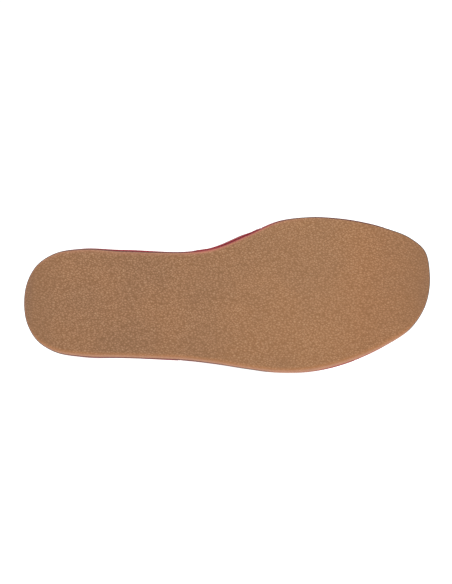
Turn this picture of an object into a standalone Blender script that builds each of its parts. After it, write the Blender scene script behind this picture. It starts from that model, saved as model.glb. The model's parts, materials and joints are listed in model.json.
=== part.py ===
"""Flat two-band sandal for the left foot, women's EU 38, lying on its outer side.

The sandal is modelled in the shoe's own frame: x runs from heel to toe, y to the
little-toe side, z up from the ground under the sole. The last step lays it down.
Sizes are in millimetres and become metres where a mesh is made.
"""
import math

import bmesh
import bpy
import numpy as np
from mathutils import Matrix, Vector

MM = 0.001

# Sole
SOLE_LENGTH = 252.0
OUTSOLE_THICK = 3.8
FOOTBED_THICK = 7.0
INSOLE_THICK = 1.4
INSOLE_INSET = 3.4
END_INSET = 0.2
OUTSOLE_EDGE = 0.6
FOOTBED_EDGE = 1.2
INSOLE_EDGE = 0.4
TOE_SPRING = 4.0
SPRING_START = 0.70
OUTLINE_POINTS = 112
EDGE_POINTS = 600
CROSS_CUTS = (0.14, 0.30, 0.46, 0.60, 0.70, 0.74, 0.78, 0.82, 0.86, 0.90, 0.94, 0.97)

# Bands
STRAP_WALL = 2.4
STRAP_EDGE = 0.5
STRAP_ACROSS = 8
STRAP_AROUND = 32
LEG_SHARE = 0.125
OUTER_WIDEST = 5.0
INNER_WIDEST = 10.0
OUTER_ROUND = 2.2
INNER_ROUND = 2.4
CREST_NARROWING = 0.10
NOTCH_SINK = 2.0
NOTCH_REACH = 4.0

# Clearance between pieces that are glued or stitched together
GAP = 0.3

# Edges that turn by more than this are rounded
ROUNDED_ABOVE = math.radians(50)
EDGE_STEPS = 2

FOOTBED_BASE = OUTSOLE_THICK + GAP
INSOLE_BASE = FOOTBED_BASE + FOOTBED_THICK + GAP
INSOLE_TOP = INSOLE_BASE + INSOLE_THICK

# A face of the hull lies on the outer side where its normal points there by this much
OUTER_SIDE = 0.8

# Weight of a cubic millimetre of each piece, grams
DENSITY = {"outsole": 0.00110, "footbed": 0.00042, "insole": 0.00060,
           "strap_front": 0.00090, "strap_instep": 0.00090}

# Sole pattern: place, distance from the heel end,
# width to the big-toe side and to the little-toe side of the heel's centre line
SOLE_PATTERN = (
    ("heel end", 2.0, 13.0, 13.1),
    ("heel round", 8.0, 23.5, 23.3),
    ("heel corner", 18.0, 30.3, 30.0),
    ("heel seat", 36.0, 33.4, 33.3),
    ("heel front", 60.0, 32.2, 34.0),
    ("arch back", 84.0, 31.5, 34.8),
    ("waist", 100.0, 31.5, 35.6),
    ("arch front", 118.0, 33.9, 37.8),
    ("joint back", 138.0, 41.8, 41.0),
    ("little-toe joint", 158.0, 50.6, 43.3),
    ("big-toe joint", 176.0, 53.2, 42.7),
    ("joint front", 192.0, 52.6, 39.4),
    ("toe roots", 208.0, 50.4, 34.0),
    ("toes", 224.0, 46.5, 26.5),
    ("toe pads", 240.0, 40.2, 16.0),
    ("toe end", 248.5, 33.0, 3.5),
)
HEEL_POINT = (0.0, 0.0)
TOE_POINT = (SOLE_LENGTH, 18.3)

# Overhang of the wrapped footbed past the outsole: share of the length,
# big-toe side, little-toe side
FOOTBED_OVERHANG = (
    (0.00, -0.2, -0.2),
    (0.10, 0.2, 0.2),
    (0.19, 0.6, 0.4),
    (0.27, 1.0, 0.3),
    (0.36, 0.4, 0.5),
    (0.46, 0.6, 0.3),
    (0.54, 0.7, 0.1),
    (0.62, 0.4, 0.2),
    (0.70, 0.1, 0.5),
    (0.78, 0.4, 0.7),
    (0.86, 0.4, 0.5),
    (0.93, 0.0, 0.2),
    (1.00, -0.2, -0.2),
)

# Last: share of the length, height of the crest above the insole,
# shift of the crest to the big-toe side
LAST = (
    (0.25, 81.0, 2.0),
    (0.35, 71.0, 3.5),
    (0.45, 60.5, 5.0),
    (0.55, 50.5, 7.5),
    (0.65, 42.0, 10.5),
    (0.75, 34.5, 13.5),
    (0.85, 28.0, 16.0),
    (0.95, 22.0, 17.0),
)

# Outer face of the bands past the outsole's edge: share of the length,
# big-toe side at the foot of the band and at its widest, little-toe side likewise
BAND_REACH = (
    (0.36, 0.4, 0.5, 0.4, 0.4),
    (0.46, 0.7, 1.2, 0.2, 0.2),
    (0.54, 0.9, 1.7, 0.0, 0.0),
    (0.60, 0.4, 0.6, 0.0, -0.2),
    (0.66, 0.2, 0.3, 0.1, -0.1),
    (0.77, 0.3, 0.4, 0.7, 0.6),
    (0.86, 0.3, 0.4, 0.5, 0.4),
    (0.94, 0.0, 0.1, 0.0, 0.0),
)

# Bands: name, back and front end on the little-toe side, back and front end on the
# big-toe side (shares of the length), sweep of the crest to the heel
STRAPS = (
    ("strap_front", 0.600, 0.820, 0.700, 0.895, 7.0),
    ("strap_instep", 0.380, 0.530, 0.420, 0.585, 10.0),
)


def spline(knots, values, at):
    """Smooth curve through the values at the knots."""
    knots = np.asarray(knots, float)
    values = np.asarray(values, float)
    slopes = np.gradient(values, knots, axis=0)
    i = np.clip(np.searchsorted(knots, at) - 1, 0, len(knots) - 2)
    step = knots[i + 1] - knots[i]
    t = (at - knots[i]) / step
    if values.ndim == 2 and np.ndim(at):
        step = step[:, None]
        t = t[:, None]
    rise = (1 + 2 * t) * (1 - t) ** 2 * values[i] + t * t * (3 - 2 * t) * values[i + 1]
    turn = t * (1 - t) ** 2 * slopes[i] - t * t * (1 - t) * slopes[i + 1]
    return rise + step * turn


def column(table, number, share):
    """A table's column at a share of the sole's length."""
    return float(spline([row[0] for row in table], [row[number] for row in table], share))


def sole_curve(count):
    """Points around the sole, heel end first, then the big-toe side forward, and the
    outward direction at each."""
    inner = [(x, -big) for _, x, big, _ in SOLE_PATTERN]
    outer = [(x, little) for _, x, _, little in reversed(SOLE_PATTERN)]
    marks = [HEEL_POINT] + inner + [(TOE_POINT[0], -TOE_POINT[1])] + outer
    ring = np.array(marks[-3:] + marks + marks[:4])
    walk = np.concatenate(([0.0], np.cumsum(np.linalg.norm(np.diff(ring, axis=0), axis=1))))
    at = np.linspace(walk[3], walk[3 + len(marks)], count, endpoint=False)
    points = spline(walk, ring, at)
    along = np.roll(points, -1, axis=0) - np.roll(points, 1, axis=0)
    along /= np.linalg.norm(along, axis=1)[:, None]
    return points, np.column_stack((along[:, 1], -along[:, 0]))


def sole_outline(overhang):
    """Outline of a layer that passes the outsole by overhang(share of length, side),
    where side runs from -1 at the big toe to 1 at the little toe."""
    points, outward = sole_curve(OUTLINE_POINTS)
    shares = points[:, 0] / SOLE_LENGTH
    shift = np.array([overhang(share, side) for share, side in zip(shares, outward[:, 1])])
    return points + outward * shift[:, None]


def edge_width(x, side, overhang):
    """Distance of the sole's edge from the heel's centre line at x, moved out by overhang."""
    points, outward = SOLE_EDGE
    ring = points + outward * overhang
    tip = int(np.argmax(ring[:, 0]))
    half = ring[:tip + 1] if side < 0 else ring[:tip - 1:-1]
    return float(np.interp(x, half[:, 0], side * half[:, 1]))


SOLE_EDGE = sole_curve(EDGE_POINTS)


def footbed_overhang(share, side):
    """Overhang of the footbed, fading out where the outline turns across the foot."""
    overhang = column(FOOTBED_OVERHANG, 1 if side < 0 else 2, share)
    return overhang * abs(side) - END_INSET * (1 - abs(side))


def spring(x):
    """Rise of the sole towards the toe."""
    past = max(0.0, x / SOLE_LENGTH - SPRING_START)
    return TOE_SPRING * (past / (1 - SPRING_START)) ** 2


def make_material(name, colour, roughness):
    material = bpy.data.materials.new(name)
    material.use_nodes = True
    shader = material.node_tree.nodes["Principled BSDF"]
    shader.inputs["Base Color"].default_value = (*colour, 1.0)
    shader.inputs["Roughness"].default_value = roughness
    shader.inputs["Metallic"].default_value = 0.0
    return material


def make_object(name, bm, collection, material=None):
    mesh = bpy.data.meshes.new(name)
    bm.to_mesh(mesh)
    bm.free()
    mesh.shade_smooth()
    obj = bpy.data.objects.new(name, mesh)
    collection.objects.link(obj)
    if material:
        mesh.materials.append(material)
    return obj


def add_solidify(obj, thickness):
    mod = obj.modifiers.new("wall", "SOLIDIFY")
    mod.thickness = thickness * MM
    mod.offset = 1.0
    mod.use_even_offset = True


def add_bevel(obj, width):
    mod = obj.modifiers.new("edge", "BEVEL")
    mod.width = width * MM
    mod.segments = EDGE_STEPS
    mod.limit_method = "ANGLE"
    mod.angle_limit = ROUNDED_ABOVE
    mod.use_clamp_overlap = False


def make_slab(name, overhang, base, thickness, edge, collection, material):
    """One layer of the sole: its outline, bent up at the toe and given its thickness."""
    bm = bmesh.new()
    bm.faces.new([bm.verts.new((x * MM, y * MM, 0.0)) for x, y in sole_outline(overhang)])
    for share in CROSS_CUTS:
        everything = bm.verts[:] + bm.edges[:] + bm.faces[:]
        bmesh.ops.bisect_plane(bm, geom=everything, dist=1e-6, plane_no=(1, 0, 0),
                               plane_co=(share * SOLE_LENGTH * MM, 0, 0))
    for vert in bm.verts:
        vert.co.z = (base + spring(vert.co.x / MM)) * MM
    obj = make_object(name, bm, collection, material)
    add_solidify(obj, thickness)
    add_bevel(obj, edge)
    return obj


def last_point(strap, across, around, inset):
    """Point of the last under a band.

    across runs from 0 at the band's back edge to 1 at its front edge, around from 0 at
    the little-toe side to 1 at the big-toe side. inset moves the point into the foot.
    """
    _, out_back, out_front, in_back, in_front, sweep = strap
    climb = min(max((around - LEG_SHARE) / (1 - 2 * LEG_SHARE), 0.0), 1.0)
    angle = math.pi * climb
    over = math.sin(angle)
    cross = (1 - math.cos(angle)) / 2
    back = out_back + (in_back - out_back) * cross
    front = out_front + (in_front - out_front) * cross
    reach = 0.5 + (across - 0.5) * (1 - CREST_NARROWING * over ** 2)
    x = (back + (front - back) * reach) * SOLE_LENGTH - sweep * over ** 2
    share = x / SOLE_LENGTH
    height = column(LAST, 1, share)
    crest = -column(LAST, 2, share)
    if angle < math.pi / 2:
        side, at_foot, at_widest, widest, power = 1, 3, 4, OUTER_WIDEST, 2 / OUTER_ROUND
        rise = min(around / LEG_SHARE, 1.0)
    else:
        side, at_foot, at_widest, widest, power = -1, 1, 2, INNER_WIDEST, 2 / INNER_ROUND
        rise = min((1 - around) / LEG_SHARE, 1.0)
    foot = column(BAND_REACH, at_foot, share)
    bulge = (column(BAND_REACH, at_widest, share) - foot) * math.sin(rise * math.pi / 2)
    half = edge_width(x, side, foot + bulge - STRAP_WALL - inset) - side * crest
    ground = FOOTBED_BASE + spring(x)
    hip = INSOLE_TOP + spring(x) + widest
    top = height - widest - inset
    y = crest + side * half * abs(math.cos(angle)) ** power
    z = ground + (hip - ground) * rise + top * over ** power
    return Vector((x * MM, y * MM, z * MM))


def make_band(name, strap, collection, material=None, margin=0.0, sink=0.0, wall=STRAP_WALL):
    """A band over the last; margin widens it all round, and sink lowers its feet."""
    width = (strap[2] - strap[1]) * SOLE_LENGTH
    bm = bmesh.new()
    bmesh.ops.create_grid(bm, x_segments=STRAP_ACROSS, y_segments=STRAP_AROUND, size=0.5)
    for vert in bm.verts:
        across = 0.5 + vert.co.x * (1 + 2 * margin / width)
        around = 0.5 - vert.co.y
        is_foot = vert.is_boundary and abs(vert.co.y) > 0.499
        vert.co = last_point(strap, across, around, margin)
        vert.co.z -= sink * MM * is_foot
    obj = make_object(name, bm, collection, material)
    add_solidify(obj, wall)
    return obj


def cut_notch(body, cutter):
    cutter.hide_render = True
    cutter.display_type = "WIRE"
    mod = body.modifiers.new(cutter.name, "BOOLEAN")
    mod.operation = "DIFFERENCE"
    mod.solver = "EXACT"
    mod.object = cutter


def measured(obj, depsgraph):
    """Corner points, volume and centre of an object as its modifiers leave it."""
    bm = bmesh.new()
    bm.from_object(obj, depsgraph)
    bmesh.ops.triangulate(bm, faces=bm.faces[:])
    points = [vert.co.copy() for vert in bm.verts]
    corners = np.array([[loop.vert.co[:] for loop in face.loops] for face in bm.faces])
    bm.free()
    wedge = np.einsum("ij,ij->i", corners[:, 0], np.cross(corners[:, 1], corners[:, 2])) / 6
    centre = (corners.sum(axis=1) / 4 * wedge[:, None]).sum(axis=0) / wedge.sum()
    return points, wedge.sum(), Vector(centre)


def resting_face(points, weight_centre):
    """Outward normal of the hull face on the little-toe side that carries the weight."""
    hull = bmesh.new()
    for point in points:
        hull.verts.new(point)
    bmesh.ops.convex_hull(hull, input=hull.verts[:])
    hull.normal_update()
    best = (0.0, None)
    for face in hull.faces:
        if face.normal.y < OUTER_SIDE:
            continue
        a, b, c = [vert.co for vert in face.verts[:3]]
        foot = weight_centre - face.normal * (weight_centre - a).dot(face.normal)
        inside = min((q - p).normalized().cross(foot - p).dot(face.normal)
                     for p, q in ((a, b), (b, c), (c, a)))
        if inside > best[0]:
            best = (inside, face.normal.copy())
    hull.free()
    return best[1]


def lay_down(parts, anchor):
    """Turn the sandal onto its outer side, sole facing -Y, centred over the origin."""
    depsgraph = bpy.context.evaluated_depsgraph_get()
    points = []
    moment = Vector()
    weight = 0.0
    for obj in parts:
        corners, volume, centre = measured(obj, depsgraph)
        share = volume * DENSITY[obj.name]
        points += corners
        moment += centre * share
        weight += share
    up = -resting_face(points, moment / weight)
    facing = Vector((0, 0, 1))
    facing = (facing - up * facing.dot(up)).normalized()
    turn = Matrix((facing.cross(up), facing, up))
    placed = np.array([turn @ point for point in points])
    low = placed.min(axis=0)
    high = placed.max(axis=0)
    shift = Vector((-(low[0] + high[0]) / 2, -(low[1] + high[1]) / 2, -low[2]))
    anchor.matrix_world = Matrix.Translation(shift) @ turn.to_4x4()


def main():
    for obj in list(bpy.data.objects):
        bpy.data.objects.remove(obj, do_unlink=True)
    parts = bpy.data.collections.new("flat_sandal")
    cutters = bpy.data.collections.new("cutters")
    bpy.context.scene.collection.children.link(parts)
    bpy.context.scene.collection.children.link(cutters)

    tan_rubber = make_material("tan_rubber", (0.36, 0.19, 0.10), 0.62)
    red_wrap = make_material("red_wrap", (0.30, 0.018, 0.028), 0.45)
    sock = make_material("sock_leather", (0.40, 0.24, 0.13), 0.60)

    outsole = make_slab("outsole", lambda share, side: 0.0, 0.0,
                        OUTSOLE_THICK, OUTSOLE_EDGE, parts, tan_rubber)
    footbed = make_slab("footbed", footbed_overhang, FOOTBED_BASE,
                        FOOTBED_THICK, FOOTBED_EDGE, parts, red_wrap)
    insole = make_slab("insole", lambda share, side: -INSOLE_INSET, INSOLE_BASE,
                       INSOLE_THICK, INSOLE_EDGE, parts, sock)
    built = [outsole, footbed, insole]
    for strap in STRAPS:
        leather = make_material(strap[0] + "_leather", (0.32, 0.018, 0.028), 0.42)
        band = make_band(strap[0], strap, parts, leather)
        add_bevel(band, STRAP_EDGE)
        built.append(band)
        cutter = make_band(strap[0] + "_notch", strap, cutters, margin=GAP, sink=NOTCH_SINK,
                           wall=STRAP_WALL + NOTCH_REACH)
        cut_notch(footbed, cutter)

    anchor = bpy.data.objects.new("sandal_rest", None)
    parts.objects.link(anchor)
    lay_down(built, anchor)
    for obj in built + list(cutters.objects):
        obj.parent = anchor


main()
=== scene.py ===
# %% [markdown]
# A flat sandal with two red bands
#
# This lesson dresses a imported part: a flat sandal for the left foot, lying on its outer side.
# The part's solids already have their true sizes, but they are plain and faceted. Here each
# solid gives way to a finer piece, built from the same few sizes, with its real surface.

# %% Load the solids
import json
import math

import bpy
import numpy as np
from mathutils import Matrix, Vector


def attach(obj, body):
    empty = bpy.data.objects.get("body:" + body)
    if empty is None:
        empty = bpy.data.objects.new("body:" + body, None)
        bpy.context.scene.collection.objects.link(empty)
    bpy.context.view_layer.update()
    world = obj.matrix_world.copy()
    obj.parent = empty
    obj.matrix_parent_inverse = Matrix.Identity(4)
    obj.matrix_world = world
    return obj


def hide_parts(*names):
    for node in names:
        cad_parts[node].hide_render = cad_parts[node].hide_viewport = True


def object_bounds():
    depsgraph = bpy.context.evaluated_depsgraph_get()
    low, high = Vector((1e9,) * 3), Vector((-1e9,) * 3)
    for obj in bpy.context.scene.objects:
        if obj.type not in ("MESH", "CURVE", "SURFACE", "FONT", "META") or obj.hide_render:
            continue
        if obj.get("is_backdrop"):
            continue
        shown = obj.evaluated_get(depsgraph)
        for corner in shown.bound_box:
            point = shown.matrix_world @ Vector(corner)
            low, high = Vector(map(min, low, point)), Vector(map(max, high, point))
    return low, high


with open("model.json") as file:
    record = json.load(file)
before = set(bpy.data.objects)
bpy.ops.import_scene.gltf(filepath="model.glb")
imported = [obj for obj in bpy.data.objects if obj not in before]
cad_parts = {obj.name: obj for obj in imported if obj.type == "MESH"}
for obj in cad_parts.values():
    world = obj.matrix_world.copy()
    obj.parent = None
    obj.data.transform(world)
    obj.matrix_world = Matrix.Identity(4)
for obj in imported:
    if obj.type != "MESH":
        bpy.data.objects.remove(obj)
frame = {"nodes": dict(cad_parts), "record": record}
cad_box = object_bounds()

print("solids:", ", ".join(sorted(frame["nodes"])))

# %% [markdown]
# Standing and lying
#
# A sandal is designed standing: x runs from heel to toe, y to the little-toe side and z up from
# the ground. This one lies on its side. It could be modelled lying, but then every size would
# come out slanted. So each piece is made standing, in millimetres, and one matrix lays it down.
# Two spots under the sole, which the part's record keeps, are enough to find that matrix.

# %% The matrix that lays the sandal down
MM = 0.001
HEEL_SPOT = Vector((53.0, -10.5, 0.0)) * MM
BALL_SPOT = Vector((139.0, 12.0, 0.0)) * MM

spots = {mount["name"]: mount for mount in frame["record"]["mounts"]}
heel_lying = Vector(spots["heel_underside"]["pos_m"])
ball_lying = Vector(spots["ball_underside"]["pos_m"])
slant = math.atan2(BALL_SPOT.y - HEEL_SPOT.y, BALL_SPOT.x - HEEL_SPOT.x)
UP = -Vector(spots["heel_underside"]["axis"]).normalized()
FORWARD = Matrix.Rotation(-slant, 3, UP) @ (ball_lying - heel_lying).normalized()
ASIDE = UP.cross(FORWARD)
TURN = Matrix((FORWARD, ASIDE, UP)).transposed()
LAY_DOWN = Matrix.Translation(heel_lying - TURN @ HEEL_SPOT) @ TURN.to_4x4()
print(f"the sole leans back by {math.degrees(math.asin(-UP.z)):.1f} degrees")

# %% [markdown]
# The sole's pattern
#
# A shoemaker cuts every layer of a flat sole from one paper pattern. Its edge could be traced
# with hundreds of points. A few widths say as much: at each place along the sole, how far the
# edge lies from the heel's centre line on the big-toe side and on the little-toe side. The tip
# of the toe lies off that line, towards the big toe.

# %% Widths of the sole, in millimetres
SOLE_LENGTH = 252.0
TOE_SHIFT = 18.3

# Place, distance from the heel's end, width on the big-toe side, width on the little-toe side
SOLE_PATTERN = (
    ("heel end", 2.0, 13.0, 13.1),
    ("heel round", 8.0, 23.5, 23.3),
    ("heel corner", 18.0, 30.3, 30.0),
    ("heel seat", 36.0, 33.4, 33.3),
    ("heel front", 60.0, 32.2, 34.0),
    ("arch back", 84.0, 31.5, 34.8),
    ("waist", 100.0, 31.5, 35.6),
    ("arch front", 118.0, 33.9, 37.8),
    ("joint back", 138.0, 41.8, 41.0),
    ("little-toe joint", 158.0, 50.6, 43.3),
    ("big-toe joint", 176.0, 53.2, 42.7),
    ("joint front", 192.0, 52.6, 39.4),
    ("toe roots", 208.0, 50.4, 34.0),
    ("toes", 224.0, 46.5, 26.5),
    ("toe pads", 240.0, 40.2, 16.0),
    ("toe end", 248.5, 33.0, 3.5),
)
width, widest = max((big + little, label) for label, _, big, little in SOLE_PATTERN)
print(f"widest place: {widest}, {width:.1f} mm")

# %% [markdown]
# A smooth edge
#
# Blender's own curves would join these widths too, but the layers also need the direction that
# points out of the sole at each spot. A cubic through the widths gives both. The edge is kept
# as two lines from heel to toe, -1 for the big-toe side and 1 for the little-toe side.

# %% Lines through points
def spline(knots, values, at):
    """Smooth curve through the values at the knots."""
    knots = np.asarray(knots, float)
    values = np.asarray(values, float)
    slopes = np.gradient(values, knots, axis=0)
    i = np.clip(np.searchsorted(knots, at) - 1, 0, len(knots) - 2)
    step = knots[i + 1] - knots[i]
    t = (at - knots[i]) / step
    if values.ndim == 2:
        step = step[:, None]
        t = t[:, None]
    rise = (1 + 2 * t) * (1 - t) ** 2 * values[i] + t * t * (3 - 2 * t) * values[i + 1]
    bend = t * (1 - t) ** 2 * slopes[i] - t * t * (1 - t) * slopes[i + 1]
    return rise + step * bend


def walked(line):
    """How far along a line each of its points lies."""
    return np.concatenate(([0.0], np.cumsum(np.linalg.norm(np.diff(line, axis=0), axis=1))))


def unit(vectors):
    return vectors / np.linalg.norm(vectors, axis=-1, keepdims=True)


print("halfway between 1 and 3 the curve is at", spline((0.0, 1.0), (1.0, 3.0), np.array([0.5]))[0])

# %% The two sides of the sole's edge
BIG_TOE, LITTLE_TOE = -1, 1
FINE_STEPS = 3000
LEAD = 3


def sole_sides():
    """For each side: points of the edge from heel to toe, and the outward direction at each.
    A few points are repeated at both ends, so that the curve closes smoothly."""
    inner = [(x, -big) for _, x, big, _ in SOLE_PATTERN]
    outer = [(x, little) for _, x, _, little in reversed(SOLE_PATTERN)]
    marks = [(0.0, 0.0)] + inner + [(SOLE_LENGTH, -TOE_SHIFT)] + outer
    ring = np.array(marks[-LEAD:] + marks + marks[:LEAD + 1])
    walk = walked(ring)
    toe = LEAD + len(inner) + 1
    sides = {}
    for side, heel in ((BIG_TOE, LEAD), (LITTLE_TOE, LEAD + len(marks))):
        line = spline(walk, ring, np.linspace(walk[heel], walk[toe], FINE_STEPS))
        along = unit(np.gradient(line, axis=0))
        sides[side] = (line, side * np.column_stack((-along[:, 1], along[:, 0])))
    return sides


SOLE_SIDES = sole_sides()
for side, (line, _) in SOLE_SIDES.items():
    print("side", side, f"{walked(line)[-1]:.0f} mm round")

# %% [markdown]
# Where the bands go down
#
# Each band is let into the footbed's side and glued under it. So the footbed needs to know
# where the bands stand before it is made. The places are shares of the sole's length: the
# band's back and front on the little-toe side, the same on the big-toe side, and last, in
# millimetres, how far its crest sweeps back to the heel.

# %% Places of the bands
FRONT_BAND = (0.600, 0.820, 0.700, 0.895, 7.0)
INSTEP_BAND = (0.380, 0.530, 0.420, 0.585, 10.0)
BANDS = {"front": FRONT_BAND, "instep": INSTEP_BAND}


def band_foot(band, side):
    """Back and front end of a band's foot on one side of the sole, in millimetres."""
    ends = band[0:2] if side == LITTLE_TOE else band[2:4]
    return ends[0] * SOLE_LENGTH, ends[1] * SOLE_LENGTH


for name, band in BANDS.items():
    print(name, "band, outer foot from {:.0f} to {:.0f} mm".format(*band_foot(band, LITTLE_TOE)))

# %% [markdown]
# Stations along the edge
#
# A mesh needs points close together only where something happens. Evenly spread stations
# serve the long curves, and a few more stand at each band's end, where the footbed steps in.
# Their marks are millimetres from that end, positive outside the band.

# %% Stations
EDGE_STEPS = 210
STEP_START, STEP_END = 0.15, -0.15
STEP_MARKS = (0.6, STEP_START, 0.08, 0.0, -0.08, STEP_END, -0.6)


def stations(side):
    """Points and outward directions along one side of the edge, heel to toe."""
    line, outward = SOLE_SIDES[side]
    share = np.linspace(0.0, 1.0, FINE_STEPS)
    extra = []
    for band in BANDS.values():
        back, front = band_foot(band, side)
        extra += [np.interp(back - mark, line[:, 0], share) for mark in STEP_MARKS]
        extra += [np.interp(front + mark, line[:, 0], share) for mark in STEP_MARKS]
    at = np.sort(np.concatenate((np.linspace(0.0, 1.0, EDGE_STEPS + 1), extra)))
    points = np.column_stack([np.interp(at, share, line[:, i]) for i in (0, 1)])
    directions = np.column_stack([np.interp(at, share, outward[:, i]) for i in (0, 1)])
    return points, unit(directions)


EDGE = {side: stations(side) for side in (BIG_TOE, LITTLE_TOE)}
print(len(EDGE[BIG_TOE][0]), "stations on each side")

# %% [markdown]
# A layer of the sole
#
# Outsole, footbed and sock are slabs of one outline. A slab could be an extruded curve with a
# Bevel modifier, but a bevel can't fade or step in at the bands. So a slab is a stack of
# closed lines, each moved out or in from the pattern's edge and lifted, with a grid over both
# ends. The grid matters: the toe bends up, and one large flat face could not follow it.

# %% Lines round a layer
TOE_SPRING = 4.0
SPRING_START = 0.70


def spring(x):
    """Rise of the sole towards the toe."""
    past = np.maximum(0.0, x / SOLE_LENGTH - SPRING_START)
    return TOE_SPRING * (past / (1 - SPRING_START)) ** 2


def closed_line(big_toe_side, little_toe_side):
    """One list from heel to toe along the big-toe side and back along the other."""
    return np.concatenate((big_toe_side, little_toe_side[-2:0:-1]))


def even_overhang(amount):
    """The same overhang at every station."""
    return {side: np.full(len(EDGE[side][0]), amount) for side in EDGE}


def edge_line(overhang, inset, height):
    """Closed line round the sole, moved out by the overhang of each station and in by an inset."""
    sides = []
    for side in (BIG_TOE, LITTLE_TOE):
        points, outward = EDGE[side]
        flat = points + outward * (overhang[side] - inset)[:, None]
        sides.append(np.column_stack((flat, height + spring(flat[:, 0]))))
    return closed_line(*sides)


print("toe rises by", spring(np.array([SOLE_LENGTH]))[0], "mm")

# %% A grid over the end of a stack
END_CELLS = 24


def end_grid(corners, first, count, height, is_top):
    """Points and faces that close a stack over the line that starts at a corner number."""
    half = count // 2
    near = first + np.arange(half + 1)
    far = first + (count - np.arange(half + 1)) % count
    share = (np.arange(1, END_CELLS) / END_CELLS)[:, None]
    inside = corners[near[1:-1], None] * (1 - share) + corners[far[1:-1], None] * share
    inside[..., 2] = height + spring(inside[..., 0])
    numbers = np.arange(inside[..., 0].size).reshape(half - 1, END_CELLS - 1)
    grid = np.empty((half + 1, END_CELLS + 1), int)
    grid[:, 0] = near
    grid[:, -1] = far
    grid[1:-1, 1:-1] = len(corners) + numbers
    grid[0] = near[0]
    grid[-1] = near[-1]
    faces = []
    for k in range(half):
        for j in range(END_CELLS):
            loop = (grid[k, j], grid[k + 1, j], grid[k + 1, j + 1], grid[k, j + 1])
            face = list(dict.fromkeys(loop))
            faces.append(face if is_top else face[::-1])
    return inside.reshape(-1, 3), faces


print("a slab closes its ends with", END_CELLS, "cells across")

# %% A stack of lines
def skin(lines, count, first=0):
    """Faces between neighbouring closed lines of count corners each."""
    faces = []
    for line in range(lines - 1):
        for spot in range(count):
            here = first + line * count + spot
            beside = first + line * count + (spot + 1) % count
            faces.append((here, beside, beside + count, here + count))
    return faces


def slab(overhang, rows):
    """Corners, faces and edge shares of a layer. A row is (inset, height, edge share), and the
    rows run from the underside, round the side wall, to the top. An edge share is one number,
    or one for each spot of the line."""
    lines = [edge_line(overhang, inset, height) for inset, height, _ in rows]
    count = len(lines[0])
    corners = np.concatenate(lines)
    edge = np.concatenate([np.broadcast_to(share, count) for _, _, share in rows])
    faces = skin(len(rows), count)
    for row, is_top in ((0, False), (len(rows) - 1, True)):
        inside, more = end_grid(corners, row * count, count, rows[row][1], is_top)
        corners = np.concatenate((corners, inside))
        edge = np.concatenate((edge, np.zeros(len(inside))))
        faces += more
    return corners, faces, edge


def rounded_wall(base, top, base_round, top_round, steps):
    """Section of a layer's side from the underside up: how far in from the edge, and height."""
    turns = np.linspace(0.0, math.pi / 2, steps)
    low = [(base_round * (1 - math.sin(a)), base + base_round * (1 - math.cos(a))) for a in turns]
    high = [(top_round * (1 - math.cos(a)), top - top_round * (1 - math.sin(a))) for a in turns]
    return low + high


print("a line round a slab has", len(edge_line(even_overhang(0.0), 0.0, 0.0)), "corners")

# %% [markdown]
# From numbers to a piece
#
# Every piece goes the same way: its corners become metres, are laid down and become a mesh.
# The mesh keeps an attribute named edge, from 0 inside to 1 at a rim or a cut edge, so that a
# material can find the edges. A painted image could say where they are, but an attribute costs
# nothing and needs no unwrapping.

# %% Make a piece
def make_piece(name, shape, material, replaced=()):
    corners, faces, edge = shape
    placed = corners * MM @ np.array(TURN).T + np.array(LAY_DOWN.translation)
    mesh = bpy.data.meshes.new(name)
    mesh.from_pydata(placed.tolist(), [], [[int(i) for i in face] for face in faces])
    attribute = mesh.attributes.new("edge", "FLOAT", "POINT")
    attribute.data.foreach_set("value", edge.astype(np.float32))
    mesh.materials.append(material)
    mesh.shade_smooth()
    piece = bpy.data.objects.new(name, mesh)
    bpy.context.scene.collection.objects.link(piece)
    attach(piece, "root")
    if replaced:
        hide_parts(*replaced)
    print(f"{name}: {len(mesh.vertices)} corners, {len(mesh.polygons)} faces")


print("helper: make_piece")

# %% [markdown]
# Words for materials
#
# A material is a small graph of nodes. Placing each node by hand takes many lines, so a few
# helpers do it: one fills a socket with a value or a link, one places a node, and the others
# do a sum, take a mask times another, mix two colours or make a soft step.

# %% Place a node
def fill(tree, socket, value):
    """A socket takes a value, or the output of another node."""
    if isinstance(value, bpy.types.NodeSocket):
        tree.links.new(value, socket)
    else:
        socket.default_value = value


def place(tree, kind, settings=None, **sockets):
    """Add a node with its settings and fill its named sockets."""
    node = tree.nodes.new(kind)
    for name, value in (settings or {}).items():
        setattr(node, name, value)
    for name, value in sockets.items():
        fill(tree, node.inputs[name.replace("_", " ")], value)
    return node


print("helpers: fill and place")

# %% Sums, masks and mixes
# A Mix node has sockets of the same names for each kind of data, so those for colours are
# reached by their numbers
MIX_SHARE, MIX_FIRST, MIX_SECOND, MIX_RESULT = 0, 6, 7, 2


def maths(tree, operation, first, second):
    node = place(tree, "ShaderNodeMath", {"operation": operation})
    fill(tree, node.inputs[0], first)
    fill(tree, node.inputs[1], second)
    return node.outputs[0]


def times(tree, mask, other):
    """A mask made weaker by a number, or kept only where another mask is."""
    return maths(tree, "MULTIPLY", mask, other)


def mix_colour(tree, share, first, second, blend="MIX"):
    node = place(tree, "ShaderNodeMix", {"data_type": "RGBA", "blend_type": blend})
    fill(tree, node.inputs[MIX_SHARE], share)
    fill(tree, node.inputs[MIX_FIRST], first)
    fill(tree, node.inputs[MIX_SECOND], second)
    return node.outputs[MIX_RESULT]


def ramp(tree, value, low, high, to_low=0.0, to_high=1.0):
    """Smooth step from to_low to to_high as the value goes from low to high."""
    node = place(tree, "ShaderNodeMapRange", {"interpolation_type": "SMOOTHSTEP"}, Value=value,
                 From_Min=low, From_Max=high, To_Min=to_low, To_Max=to_high)
    return node.outputs["Result"]


print("helpers: maths, times, mix_colour and ramp")

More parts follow.
